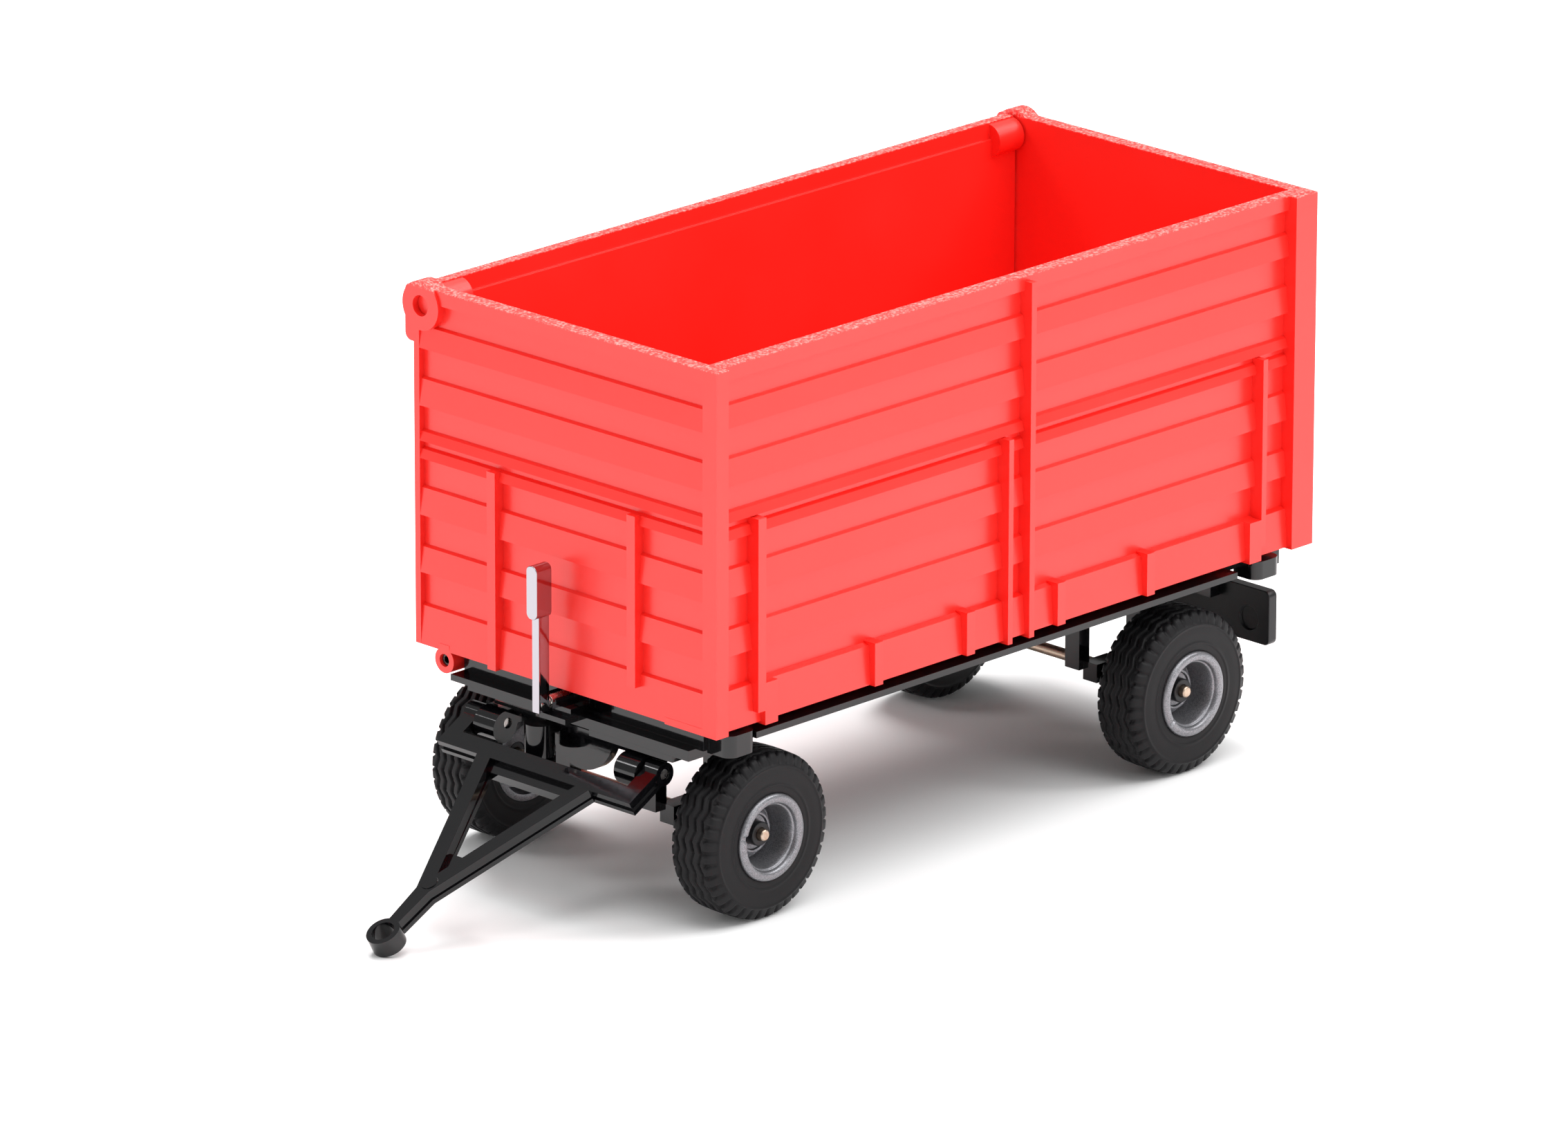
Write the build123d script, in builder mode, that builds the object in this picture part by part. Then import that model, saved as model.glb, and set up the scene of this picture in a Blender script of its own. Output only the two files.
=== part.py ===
"""Two-axle side-tipping farm trailer, a 1:32 die-cast scale model.

A red plastic tub with a top-hung side flap sits on a black die-cast chassis.
The tub tips to the -Y side when the hand lever on the head beam is swung over.
Frame: +X towards the drawbar, +Y to the trailer's left, +Z up, origin on the
ground under the centre of the whole model. All sizes are millimetres.
"""

import os
from math import asin, atan2, cos, degrees, hypot, sin

from build123d import *

# ---------------------------------------------------------------- driving sizes
body_length = 157.0  # outer faces of the front and rear corner posts
body_width = 76.3  # over the corner posts
body_height = 67.9  # corner posts, bottom to top
wheelbase = 111.0
front_axle_setback = 16.0  # front axle behind the tub's front face
tyre_radius = 15.6
tyre_width = 11.0
wheel_track = 61.2  # between the tyres' mid planes
drawbar_reach = 52.0  # drawbar pivot to the centre of the eye

# ------------------------------------------------------------------- clearances
tyre_clearance = 0.4  # tyre top to the lowest part of the chassis
rest_gap = 0.3  # tub over the chassis beams
side_gap = 0.4  # pieces that swing past each other
pin_clearance = 0.07  # radial, pins and journals that turn in a bore
axle_clearance = 0.06  # radial, axle in its carrier

# ------------------------------------------------------------- chassis and tub
deck_thickness = 1.2
ledge_depth = 3.4
beam_rise = 1.0
rail_y = 37.3  # near edge of the deck
corner_rounding = 2.0  # blocks under the near corners of the tub
deck_far_y = -27.7
wall = 1.7  # moulded wall between its inner face and the sunk panels
floor_thickness = 1.8
board_step = 1.2  # how far the boards stand out from the panels
board_tilt = 0.5  # each board leans out by this much towards its foot
board_ledge = 0.35  # height of the slope on top of each board
rim_height = 2.7  # raised band along the top edge
sill_out = 0.5  # lowest board in front of the others, long sides
side_inset = 1.75  # boards behind the corner posts, near side
rib_out = 0.9  # ribs in front of the corner posts, front and rear
front_post = 3.1
rear_post = 5.7
hinge_y = -30.8
hinge_lug_radius = 2.4
hinge_pin_radius = 1.15
hinge_lug_length = 4.2
flap_thickness = 2.2
flap_ring_radius = 4.6
flap_hole_radius = 1.95
flap_drop = 3.5  # flap axis below the top edge

# ---------------------------------------------------------------- running gear
axle_radius = 1.1
axle_end_inset = 1.9  # axle end behind the rim's lip
rim_radius = 8.1
rim_bowl_radius = 6.3
hub_radius = 4.2
hub_core_radius = 2.25
kingpin_radius = 1.5
turntable_radius = 10.5
pivot_setback = 0.8  # drawbar pivot behind the tub's front face
pivot_radius = 1.0
lug_radius = 2.5
lug_inner_y = 15.3
lug_width = 5.2
arm_width = 3.6
drawbar_half_thickness = 1.5
eye_radius = 3.2
eye_hole_radius = 2.15
eye_half_thickness = 1.7

# ----------------------------------------------------------------- tipping gear
shaft_y = -1.6
shaft_radius = 1.2
journal_radius = 0.75
lifting_arm_reach = 25.0
lifting_arm_setback = 60.0
lever_height = 26.4  # shaft centre to the tip of the grip

# --------------------------------------------------------------- derived places
axle_z = tyre_radius
ledge_base = 2 * tyre_radius + tyre_clearance
ledge_top = ledge_base + ledge_depth
deck_base = ledge_top + 0.8
deck_top = deck_base + deck_thickness
beam_top = deck_top + beam_rise
post_base = beam_top + rest_gap
floor_base = post_base + 0.5
wall_base = post_base + 0.3
body_top = post_base + body_height
hinge_z = deck_top - 0.2
flap_axis_z = body_top - flap_drop
half_width = body_width / 2
side_face = half_width - side_inset  # board face of the near wall
side_panel = side_face - board_step
pivot_z = ledge_base - 0.7 - lug_radius
shaft_z = deck_top - 0.4
kingpin_top = shaft_z - shaft_radius - side_gap  # blind, below the tipping shaft

# The drawbar hangs until the lower edge of its eye meets the ground.
eye_reach = drawbar_reach + eye_radius
drawbar_angle = asin(pivot_z / hypot(eye_reach, eye_half_thickness)) - atan2(eye_half_thickness, eye_reach)
nose = eye_reach * cos(drawbar_angle) + eye_half_thickness * sin(drawbar_angle) - pivot_setback
tail = body_length + rib_out
front = (tail - nose) / 2  # X of the tub's front face


def back(setback):
    """X of a place that many millimetres behind the tub's front face."""
    return front - setback


front_axle_x = back(front_axle_setback)
rear_axle_x = back(front_axle_setback + wheelbase)
pivot_x = back(pivot_setback)


# ---------------------------------------------------------------------- helpers
def block(x, y, z, mode=Mode.ADD):
    """Box between two X, two Y and two Z values."""
    with Locations(((x[0] + x[1]) / 2, (y[0] + y[1]) / 2, (z[0] + z[1]) / 2)):
        return Box(abs(x[1] - x[0]), abs(y[1] - y[0]), abs(z[1] - z[0]), mode=mode)


def rod_x(x, y, z, radius, mode=Mode.ADD):
    """Round bar along X."""
    with Locations(Location(((x[0] + x[1]) / 2, y, z), (0, 90, 0))):
        return Cylinder(radius, abs(x[1] - x[0]), mode=mode)


def rod_y(x, y, z, radius, mode=Mode.ADD):
    """Round bar along Y."""
    with Locations(Location((x, (y[0] + y[1]) / 2, z), (90, 0, 0))):
        return Cylinder(radius, abs(y[1] - y[0]), mode=mode)


def rod_z(x, y, z, radius, mode=Mode.ADD):
    """Round bar along Z."""
    with Locations((x, y, (z[0] + z[1]) / 2)):
        return Cylinder(radius, abs(z[1] - z[0]), mode=mode)


pieces = {}


def keep(name, shape):
    """Label a finished piece and remember it for export."""
    shape.label = name
    pieces[name] = shape


# ---------------------------------------------------------------- boarded walls
joint_z = post_base + 0.56 * body_height  # seam between the upper and lower boards
sill_z = wall_base + 7.3  # top of the lowest board
first_board = body_top - 7.5
bead = 1.7
upper_bead = joint_z + 2.5
lower_bead = joint_z - 0.8
third_board = joint_z - 8.1
# top and height of each raised board and bead between the rim and the sill
boards = [
    (first_board, 4.1),
    ((first_board + upper_bead) / 2, 5.0),
    (upper_bead, bead),
    (lower_bead, bead),
    (third_board, 5.1),
    ((third_board + sill_z) / 2, 4.8),
]


def board_section(face, inner, sill, base):
    """Points (across, height) of a wall with raised boards between sunk panels."""
    out = 1 if face > inner else -1
    panel = face - out * board_step
    points = [(inner, base), (inner, body_top), (face, body_top), (face, body_top - rim_height)]
    points += [(panel, body_top - rim_height)]
    for top, height in boards:
        points += [(panel, top + board_ledge), (face - out * board_tilt, top)]
        points += [(face, top - height), (panel, top - height)]
    points += [(panel, sill_z + board_ledge), (face + out * (sill - board_tilt), sill_z)]
    points += [(face + out * sill, base)]
    return points


def side_wall(face, inner, x, base):
    """Boarded wall that runs along X."""
    with BuildSketch(Plane.YZ.offset(min(x)), mode=Mode.PRIVATE) as section:
        with BuildLine():
            Polyline(board_section(face, inner, sill_out, base), close=True)
        make_face()
    extrude(section.sketch, amount=abs(x[1] - x[0]))


def end_wall(face, inner, y, base):
    """Boarded wall that runs along Y."""
    with BuildSketch(Plane.XZ.offset(-max(y)), mode=Mode.PRIVATE) as section:
        with BuildLine():
            Polyline(board_section(face, inner, 0.0, base), close=True)
        make_face()
    extrude(section.sketch, amount=abs(y[1] - y[0]))


# ribs of the long sides: setback from the front face and width along the wall
mid_setback = body_length / 2
stub_pitch = 0.152 * body_length
full_rib = (mid_setback + 2.2, 1.3)
middle_rib = (mid_setback - 3.4, 1.2)
end_ribs = [(10.7, 2.0), (body_length - 14.0, 1.2)]
feet = [(12.5, 3.2), (body_length - 17.1, 3.2)]
stubs = [(mid_setback - 38.0 + k * stub_pitch, 2.1) for k in range(4)]


def side_ribs(face, outer, base):
    """Upright ribs of a long side, as on the near wall and the flap."""
    out = 1 if outer > face else -1
    skin = face - out * (board_step + 0.3)
    spans = [(full_rib, base - 0.6, body_top - 1.0), (middle_rib, base - 0.6, joint_z + 0.5)]
    spans += [(rib, base + 2.2, joint_z + 0.5) for rib in end_ribs]
    spans += [(rib, base - 0.5, sill_z + 0.1) for rib in feet]
    spans += [(rib, base - 0.1, sill_z + 0.7) for rib in stubs]
    for (setback, width), low, high in spans:
        block((back(setback + width), back(setback)), (skin, outer), (low, high))


# -------------------------------------------------------------------------- tub
front_inner = board_step + wall
flap_face = -half_width + 0.35  # outer board face of the flap
flap_inner = flap_face + flap_thickness
flap_axis_y = flap_inner - 0.3
floor_far_y = flap_inner + 0.6 + 0.3
lug_y = -half_width - 2.15
wall_far_y = -half_width + 1.35
wall_near_y = half_width - 1.65

with BuildPart() as tub:
    side_x = (back(body_length - 2), back(2))
    block(side_x, (floor_far_y, side_panel - 0.5), (floor_base, floor_base + floor_thickness))
    side_wall(side_face, side_panel - wall, side_x, wall_base)
    side_ribs(side_face, half_width - 0.1, wall_base)
    for outer, inward in ((0.0, 1), (body_length, -1)):
        face = back(outer)
        inner = back(outer + inward * front_inner)
        post = front_post if inward == 1 else rear_post
        rib_face = back(outer - inward * rib_out)
        end_wall(face, inner, (wall_far_y, wall_near_y), wall_base)
        # corner posts and the deeper strip under the near end of the wall
        block((face, back(outer + inward * post)), (side_panel - 0.5, half_width), (post_base, body_top))
        block((face, inner), (-half_width, wall_far_y), (wall_base, body_top))
        block((face, inner), (half_width - 12.9, side_face), (post_base, wall_base + 1))
        # two ribs under the joint between the boards
        for y, base in ((-17.7, wall_base - 0.3), (17.7, wall_base + 5.0)):
            skin = back(outer + inward * (board_step + 0.3))
            block((skin, rib_face), (y - 1.05, y + 1.05), (base, joint_z - 0.7))
        # lug and ring that carry the flap's stub
        block((face, inner), (lug_y, wall_far_y), (body_top - 9.2, body_top - 1.5))
        rod_x((face, inner), lug_y + 1.5, body_top - 9.2, 1.5)
        rod_x((face, inner), lug_y + 1.5, body_top - 1.5, 1.5)
        block((face, inner), (lug_y + 1.5, wall_far_y), (body_top - 10.7, body_top))
        rod_x((back(outer - inward * 0.5), inner), flap_axis_y, flap_axis_z, flap_ring_radius)
        rod_x((rib_face, inner), flap_axis_y, flap_axis_z, flap_hole_radius, Mode.SUBTRACT)
        # tipping hinge tube under the far edge of the floor
        tube = (back(outer), back(outer + inward * hinge_lug_length))
        rod_x(tube, hinge_y, hinge_z, hinge_lug_radius)
        block(tube, (hinge_y - 1.3, hinge_y + 1.3), (hinge_z, floor_base + 1))
        rod_x(tube, hinge_y, hinge_z, hinge_pin_radius + pin_clearance, Mode.SUBTRACT)
        # room in the floor for the chassis lug that stands beside the tube
        relief = (back(outer + inward * hinge_lug_length), back(outer + inward * (2 * hinge_lug_length + 1.0)))
        rod_x(relief, hinge_y, hinge_z, hinge_lug_radius + side_gap, Mode.SUBTRACT)
keep("tub", tub.part)

# ------------------------------------------------------------------- side flap
flap_ends = (front_inner + side_gap, body_length - front_inner - side_gap)
flap_base = floor_base + 0.6
flap_x = (back(flap_ends[1]), back(flap_ends[0]))
with BuildPart() as side_flap:
    side_wall(flap_face, flap_inner, flap_x, flap_base)
    block(flap_x, (flap_inner - 0.2, flap_inner + 0.6), (flap_base, flap_axis_z + 0.3))
    side_ribs(flap_face, flap_face - 1.4, flap_base)
    for end, inward in ((flap_ends[0], 1), (flap_ends[1], -1)):
        rod_x((back(end), back(end + inward * 6.5)), flap_axis_y, flap_axis_z, 3.2)
        stub = (back(end + inward), back(end - inward * (front_inner - 0.4)))
        rod_x(stub, flap_axis_y, flap_axis_z, flap_hole_radius - pin_clearance)
keep("side_flap", side_flap.part)

# ------------------------------------------------------------- tipping hinge pins
for name, outer, inward in (("front_hinge_pin", 0.0, 1), ("rear_hinge_pin", body_length, -1)):
    span = (back(outer + inward * 0.6), back(outer + inward * (2 * hinge_lug_length + 0.4)))
    with BuildPart() as hinge_pin:
        rod_x(span, hinge_y, hinge_z, hinge_pin_radius)
        rod_x(span, hinge_y, hinge_z, 0.65, Mode.SUBTRACT)
    keep(name, hinge_pin.part)

# ---------------------------------------------------------------------- chassis
head_face = 2.0  # head beam behind the tub's front face
beam_near_y = 33.0
rear_beam = (body_length - 7.0, body_length - 3.4)
shaft_bearings = [(52.0, 55.5), (64.5, 68.0)]

with BuildPart() as chassis:
    deck_x = (back(rear_beam[1]), back(head_face))
    block(deck_x, (deck_far_y, beam_near_y), (deck_base, deck_top))
    block((back(body_length - 19.5), back(11.0)), (beam_near_y - 1, rail_y), (deck_base, deck_top))
    # head beam, the ledge along its foot and the deeper near half of the ledge
    block((back(6.0), back(head_face)), (deck_far_y, beam_near_y), (ledge_top - 0.5, beam_top))
    block((back(5.0), back(-0.8)), (-24.0, 32.0), (ledge_top - 2.0, ledge_top))
    block((back(5.0), back(-0.8)), (-28.4, -24.0), (ledge_top - 1.2, ledge_top))
    block((back(4.0), back(-0.3)), (6.5, 27.5), (ledge_base, ledge_top - 1.0))
    block((back(4.8), back(0.6)), (-7.5, -1.5), (ledge_base + 0.3, ledge_top - 1.0))
    # rear beam and the two beams along the deck
    block((back(rear_beam[1]), back(rear_beam[0])), (deck_far_y, beam_near_y), (ledge_top - 1.0, beam_top))
    for y in (-15.0, 15.0):
        block((back(rear_beam[0]), back(30.0)), (y - 1.2, y + 1.2), (deck_base - 3.0, deck_base + 0.2))
    # corner blocks that the near corners of the tub come down on
    for setback, z in ((3.4, ledge_top - 1.2), (body_length - 15.4, ledge_top - 0.6)):
        block((back(setback + 7.0), back(setback)), (beam_near_y - 0.5, half_width), (z, beam_top - 0.1))
    fillet(chassis.edges().filter_by(Axis.Z).group_by(Axis.Y)[-1], corner_rounding)
    # lugs for the tipping hinge
    for outer, inward in ((0.0, 1), (body_length, -1)):
        lug = (back(outer + inward * (hinge_lug_length + 0.4)), back(outer + inward * (2 * hinge_lug_length + 0.6)))
        rod_x(lug, hinge_y, hinge_z, hinge_lug_radius)
        block(lug, (hinge_y, deck_far_y + 1.5), (hinge_z - hinge_lug_radius, deck_top))
        rod_x(lug, hinge_y, hinge_z, hinge_pin_radius, Mode.SUBTRACT)
    # lever bracket on the head beam, with a sill at its foot and a pocket beside it
    block((back(head_face + 1), back(-2.7)), (shaft_y - 2.2, 4.3), (ledge_top - 1.0, shaft_z))
    rod_x((back(head_face + 1), back(-2.7)), shaft_y, shaft_z, 2.2)
    block((back(head_face + 1), back(-4.2)), (-2.2, 4.4), (ledge_top - 1.0, ledge_top))
    block((back(head_face + 1.5), back(head_face)), (4.3, 9.9), (ledge_top + 0.3, beam_top), Mode.SUBTRACT)
    # pad over the turntable
    rod_z(front_axle_x, 0, (ledge_base + 1.8, deck_base + 0.2), turntable_radius + 1)
    rod_z(front_axle_x, 0, (ledge_base, kingpin_top), kingpin_radius, Mode.SUBTRACT)
    # bearings for the tipping shaft, and the slot that its arm comes up through
    for near, far in shaft_bearings:
        block((back(far), back(near)), (shaft_y - 3.0, shaft_y + 3.0), (shaft_z - 2.6, deck_base + 0.2))
    slot = (back(lifting_arm_setback + 3.2), back(lifting_arm_setback - 3.2))
    block(slot, (shaft_y - 3.0, shaft_y + lifting_arm_reach + 2.5), (ledge_base, beam_top), Mode.SUBTRACT)
    block((back(70), back(-4.5)), (shaft_y - 1.9, shaft_y + 1.9), (deck_top, beam_top + 2), Mode.SUBTRACT)
    rod_x((back(70), back(-4.5)), shaft_y, shaft_z, shaft_radius + pin_clearance, Mode.SUBTRACT)
    # room for the rear axle carrier under the deck
    carrier_x = (rear_axle_x - 3.0 - side_gap, rear_axle_x + 5.7 + side_gap)
    block(carrier_x, (-25.0, 25.0), (ledge_base, deck_base), Mode.SUBTRACT)
    # hangers for the light bar
    for y in (-19.0, 19.0):
        block((back(body_length - 7.0), back(body_length - 9.5)), (y - 2.5, y + 2.5), (ledge_top - 9.0, deck_base + 0.2))
    # rivet holes for the rear axle carrier
    for y in (-5.0, 5.0):
        rod_z(rear_axle_x, y, (ledge_base, deck_top), 1.0, Mode.SUBTRACT)
keep("chassis", chassis.part)

# --------------------------------------------------------------- rear light bar
bar_z = (ledge_top - 16.3, ledge_top - 5.7)
bar_x = (back(body_length - 4.8), back(body_length - 7.0))
with BuildPart() as rear_light_bar:
    block(bar_x, (-half_width + 4.2, half_width - 4.2), bar_z)
    fillet(rear_light_bar.edges().filter_by(Axis.X), 1.2)
    for y in (-half_width + 9.3, half_width - 9.3):
        rod_x((bar_x[1] - 0.5, bar_x[1]), y, (bar_z[0] + bar_z[1]) / 2 - 0.8, 2.3, Mode.SUBTRACT)
keep("rear_light_bar", rear_light_bar.part)

# --------------------------------------------- axle carriers, front and rear alike
leg_y = (9.1, 12.7)
leg_x = (2.9, 5.7)  # in front of the axle
bearing_y = 12.5  # inner end of the boss that holds the axle
wheel_inner_y = (wheel_track - tyre_width) / 2
upright_y = (wheel_inner_y - 4.1, wheel_inner_y - 0.5)


def axle_carrier(axle_x, top):
    """Legs, uprights and bosses that hold an axle on both sides."""
    foot = axle_z - axle_radius - 0.6
    head = axle_z + axle_radius + 0.8
    for side in (-1, 1):
        leg = (side * leg_y[0], side * leg_y[1])
        upright = (side * upright_y[0], side * upright_y[1])
        boss = (side * bearing_y, upright[1])
        block((axle_x + leg_x[0], axle_x + leg_x[1]), leg, (foot + 2.0, top))
        block((axle_x - 2.0, axle_x + 2.0), upright, (foot, top))
        block((axle_x - 2.0, axle_x + 2.0), boss, (foot, head))
        block((axle_x - 2.0, axle_x + 4.4), (boss[0], side * (bearing_y + 3.5)), (foot, head))
        block((axle_x - 3.0, axle_x + 3.0), (0, upright[1]), (top - 1.6, top))
        block((axle_x - 3.0, axle_x + leg_x[1]), (0, leg[1]), (top - 1.6, top))
        rod_y(axle_x, (boss[0] - side, upright[1] + side), axle_z, axle_radius + axle_clearance, Mode.SUBTRACT)


carrier_top = ledge_base - 0.4
with BuildPart() as turntable:
    axle_carrier(front_axle_x, carrier_top)
    rod_z(front_axle_x, 0, (carrier_top - 2.0, ledge_base + 1.5), turntable_radius)
    # tongue to the two lugs that carry the drawbar
    block((front_axle_x, back(2.5)), (-lug_inner_y - lug_width, lug_inner_y + lug_width), (carrier_top - 1.6, carrier_top))
    for side in (-1, 1):
        lug = (side * lug_inner_y, side * (lug_inner_y + lug_width))
        rod_y(pivot_x, lug, pivot_z, lug_radius)
        rod_y(pivot_x + 0.7, lug, pivot_z - 0.6, lug_radius + 0.5)
        block((back(5.5), pivot_x), lug, (pivot_z - 0.5, pivot_z + lug_radius))
        rod_y(pivot_x, lug, pivot_z, pivot_radius, Mode.SUBTRACT)
    # half-round front plate and the stop boss beside it
    with BuildSketch(Plane.YZ.offset(back(6.0))):
        with Locations((0, carrier_top - 0.2)):
            Circle(8.3)
            Rectangle(20, 10, align=(Align.CENTER, Align.MIN), mode=Mode.SUBTRACT)
    extrude(amount=2.0)
    rod_z(back(-0.4), -6.0, (ledge_base - 6.5, carrier_top), 2.8)
    block((back(5.0), back(-0.4)), (-8.8, -3.2), (carrier_top - 1.6, carrier_top))
    rod_z(front_axle_x, 0, (carrier_top - 3, deck_top), kingpin_radius + pin_clearance, Mode.SUBTRACT)
keep("turntable", turntable.part)

with BuildPart() as rear_axle_carrier:
    axle_carrier(rear_axle_x, deck_base)
    for y in (-5.0, 5.0):
        rod_z(rear_axle_x, y, (deck_base - 2, deck_base), 1.0, Mode.SUBTRACT)
keep("rear_axle_carrier", rear_axle_carrier.part)

# ------------------------------------------------------------- kingpin and rivets
with BuildPart() as kingpin:
    rod_z(front_axle_x, 0, (carrier_top - 2.3, kingpin_top), kingpin_radius)
    rod_z(front_axle_x, 0, (carrier_top - 3.3, carrier_top - 2.3), kingpin_radius + 1.2)
keep("kingpin", kingpin.part)

with BuildPart() as carrier_rivets:
    for y in (-5.0, 5.0):
        rod_z(rear_axle_x, y, (deck_base - 1.8, deck_top + 0.4), 1.0)
        rod_z(rear_axle_x, y, (deck_top, deck_top + 0.7), 1.8)
        rod_z(rear_axle_x, y, (deck_base - 2.3, deck_base - 1.6), 1.8)
keep("carrier_rivets", carrier_rivets.part)

# ---------------------------------------------------------------------- drawbar
tilt = Plane(
    origin=(pivot_x, 0, pivot_z),
    x_dir=(cos(drawbar_angle), 0, -sin(drawbar_angle)),
    z_dir=(sin(drawbar_angle), 0, cos(drawbar_angle)),
)
arm_y = lug_inner_y + lug_width + side_gap
cross_back = 5.9
cross_front = 9.4
step_depth = 2.1
leg_groove = 0.35
neck_width = 3.2
apex = drawbar_reach - 13.0

def drawbar_layer(low, high, groove):
    """One level of the frame: arms, cross bar and legs, with their sides cut back by a groove."""
    outer_y = arm_y + arm_width - groove
    with BuildSketch(tilt.offset(low), mode=Mode.PRIVATE) as outline:
        with Locations(((cross_back + cross_front - groove) / 2, 0)):
            Rectangle(cross_front - groove - cross_back, 2 * outer_y)
        for side in (-1, 1):
            with Locations((cross_front / 2, side * (arm_y + outer_y) / 2)):
                Rectangle(cross_front - 2 * groove, outer_y - arm_y)
            with BuildLine():
                Polyline(
                    (cross_front - 1, side * (11.2 + groove)),
                    (cross_front - 1, side * (14.6 - groove)),
                    (apex + 1.8, side * (neck_width / 2 - groove)),
                    (drawbar_reach - 2, side * (neck_width / 2 - 0.4 - groove)),
                    (drawbar_reach - 2, 0),
                    (apex - 2.5, 0),
                    close=True,
                )
            make_face()
    extrude(outline.sketch, amount=high - low)


with BuildPart() as drawbar:
    drawbar_layer(-drawbar_half_thickness, -0.6, 0.0)
    drawbar_layer(-0.7, 0.5, leg_groove)
    drawbar_layer(0.4, drawbar_half_thickness, 0.0)
    # low step behind the cross bar and low web at the apex
    with BuildSketch(tilt.offset(-drawbar_half_thickness)):
        with Locations((cross_front + step_depth / 2, 0)):
            Rectangle(step_depth + 0.4, 23.0)
        with Locations((apex - 5.5, 0)):
            Rectangle(5.0, 5.0)
    extrude(amount=2 * drawbar_half_thickness - 1.0)
    # round pad where the legs meet
    with BuildSketch(tilt.offset(0.0)):
        with Locations((apex - 0.1, 0)):
            Circle(neck_width / 2)
    extrude(amount=drawbar_half_thickness + 0.15)
    with BuildSketch(tilt.offset(-eye_half_thickness)):
        with Locations((drawbar_reach, 0)):
            Circle(eye_radius)
    extrude(amount=2 * eye_half_thickness)
    with BuildSketch(tilt.offset(-eye_half_thickness)):
        with Locations((drawbar_reach, 0)):
            Circle(eye_hole_radius)
    extrude(amount=2 * eye_half_thickness, mode=Mode.SUBTRACT)
    for side in (-1, 1):
        arm = (side * arm_y, side * (arm_y + arm_width))
        rod_y(pivot_x, arm, pivot_z, 2.2)
        rod_y(pivot_x, arm, pivot_z, pivot_radius + pin_clearance, Mode.SUBTRACT)
keep("drawbar", drawbar.part)

for name, side in (("left_drawbar_pin", 1), ("right_drawbar_pin", -1)):
    with BuildPart() as drawbar_pin:
        rod_y(pivot_x, (side * (lug_inner_y + 0.5), side * (arm_y + arm_width - 0.2)), pivot_z, pivot_radius)
    keep(name, drawbar_pin.part)

# ----------------------------------------------------------- wheels and axles
lip_y = wheel_track / 2 + tyre_width / 2 + 0.6
axle_half = lip_y - axle_end_inset
bowl_y = lip_y - 6.4

for name, x in (("front_axle", front_axle_x), ("rear_axle", rear_axle_x)):
    with BuildPart() as axle:
        rod_y(x, (-axle_half, axle_half), axle_z, axle_radius)
        chamfer(axle.edges().filter_by(GeomType.CIRCLE), 0.25)
    keep(name, axle.part)


rim_outline = [
    (hub_core_radius, bowl_y - 1.6),
    (hub_core_radius, lip_y - 3.6),
    (hub_radius - 0.9, lip_y - 4.0),
    (hub_radius, bowl_y + 0.6),
    (rim_bowl_radius - 1.0, bowl_y),
    (rim_bowl_radius - 0.5, lip_y - 1.4),
    (rim_bowl_radius, lip_y - 0.9),
    (rim_bowl_radius, lip_y),
    (rim_radius, lip_y),
    (rim_radius, lip_y - 0.8),
    (rim_radius - 0.6, lip_y - 1.4),
    (rim_radius - 0.6, wheel_inner_y + 1.2),
    (rim_radius, wheel_inner_y + 0.8),
    (rim_radius, wheel_inner_y + 0.1),
    (rim_radius - 1.4, wheel_inner_y + 0.1),
    (rim_radius - 1.9, bowl_y - 1.6),
]
tyre_low = wheel_inner_y
tyre_high = wheel_inner_y + tyre_width
tyre_outline = [
    (rim_radius - 0.6, tyre_low + 1.2),
    (rim_radius - 0.6, tyre_high - 0.8),
    (rim_radius, tyre_high - 0.2),
    (rim_radius + 0.5, tyre_high - 0.1),
    (tyre_radius - 4.4, tyre_high),
    (tyre_radius - 1.5, tyre_high - 0.3),
    (tyre_radius - 0.25, tyre_high - 1.1),
    (tyre_radius, tyre_high - 2.6),
    (tyre_radius, tyre_low + 2.6),
    (tyre_radius - 0.25, tyre_low + 1.1),
    (tyre_radius - 1.5, tyre_low + 0.3),
    (tyre_radius - 4.4, tyre_low),
    (rim_radius + 0.5, tyre_low + 0.1),
    (rim_radius, tyre_low + 0.8),
]

for axle_name, x in (("front", front_axle_x), ("rear", rear_axle_x)):
    for side_name, side in (("left", 1), ("right", -1)):
        wheel = f"{axle_name}_{side_name}"
        plane = Plane(origin=(x, 0, axle_z), x_dir=(1, 0, 0), z_dir=(0, 0, side))
        turn = Axis((x, 0, axle_z), (0, 1, 0))
        with BuildPart() as rim:
            with BuildSketch(plane):
                with BuildLine():
                    Polyline(rim_outline, close=True)
                make_face()
            revolve(axis=turn)
        keep(f"{wheel}_rim", rim.part)
        with BuildPart() as tyre:
            with BuildSketch(plane):
                with BuildLine():
                    Polyline(tyre_outline, close=True)
                make_face()
            revolve(axis=turn)
        keep(f"{wheel}_tyre", tyre.part)
        with BuildPart() as hub_core:
            rod_y(x, (side * (bowl_y - 1.6), side * (lip_y - 3.1)), axle_z, hub_core_radius)
            rod_y(x, (side * (bowl_y - 1.6), side * (lip_y - 3.1)), axle_z, axle_radius, Mode.SUBTRACT)
        keep(f"{wheel}_hub_core", hub_core.part)

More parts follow.
